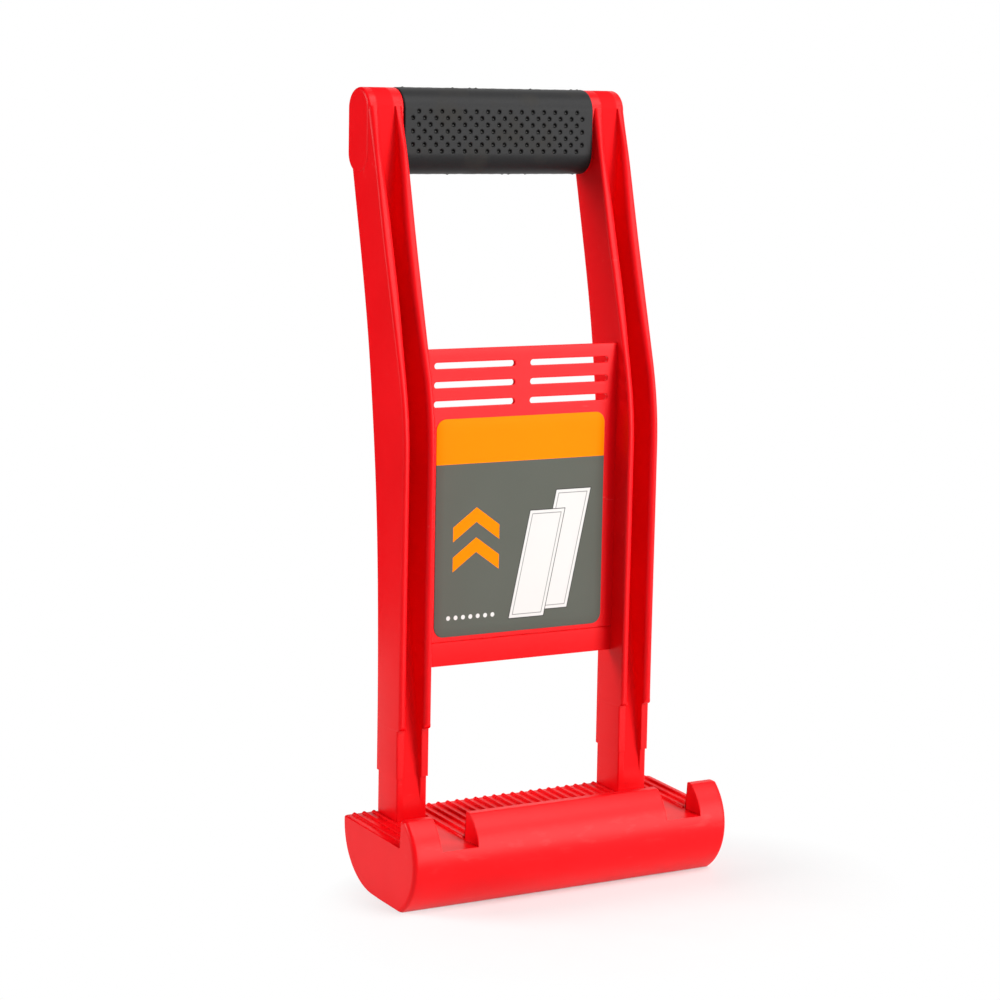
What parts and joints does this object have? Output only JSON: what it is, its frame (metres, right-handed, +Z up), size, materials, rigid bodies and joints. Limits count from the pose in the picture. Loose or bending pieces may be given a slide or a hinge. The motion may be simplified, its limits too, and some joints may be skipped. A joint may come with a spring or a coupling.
{
  "type": "panel carrier",
  "caption": "Hand-held carrier for boards and panels: a leaning red frame with a padded grip above and a rounded foot below whose hooked lip holds the panel's lower edge.",
  "frame": {"origin": "middle of the foot's flat underside, on the floor", "axes": "+Z up towards the grip; the front, where the panel stands, faces -Y; X runs across the carrier"},
  "size_m": [0.1708, 0.1212, 0.3587],
  "materials": {
    "red_plastic": "glossy moulded plastic",
    "grip_rubber": "satin rubber with small pits",
    "label_film": "printed film, orange above and grey below",
    "screw_steel": "zinc plated"
  },
  "bodies": {
    "root": {"left_rail": "red_plastic", "right_rail": "red_plastic", "web_panel": "red_plastic", "handle_bar": "red_plastic", "grip_sleeve": "grip_rubber", "label": "label_film", "foot_tray": "red_plastic", "foot_cover": "red_plastic", "leg_screws": "screw_steel", "cover_screws": "screw_steel"}
  },
  "joints": []
}
